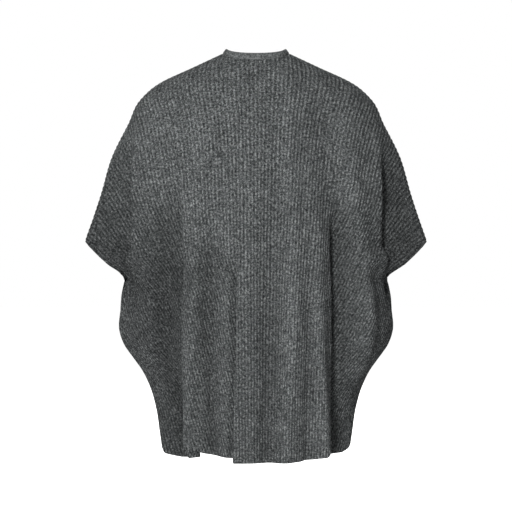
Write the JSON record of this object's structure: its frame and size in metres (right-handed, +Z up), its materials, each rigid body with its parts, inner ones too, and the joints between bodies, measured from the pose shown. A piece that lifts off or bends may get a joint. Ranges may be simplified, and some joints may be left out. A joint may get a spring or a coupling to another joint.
{
  "type": "poncho sweater",
  "caption": "Loose rib-knit poncho sweater with short dolman sleeves and a narrow neckband, kept in its worn shape.",
  "frame": {"origin": "between the shoulders, level with the side points of the neck edge, where the garment rests on the wearer", "axes": "+Z up, the wearer faces -Y, the wearer's left is +X"},
  "size_m": [0.6856, 0.2736, 0.8135],
  "materials": {
    "body_knit": "matt, softly brushed heather-grey rib knit",
    "neckband_knit": "matt heather-grey plain knit"
  },
  "bodies": {
    "root": {"back": "body_knit", "front": "body_knit", "neckband": "neckband_knit"}
  },
  "joints": []
}
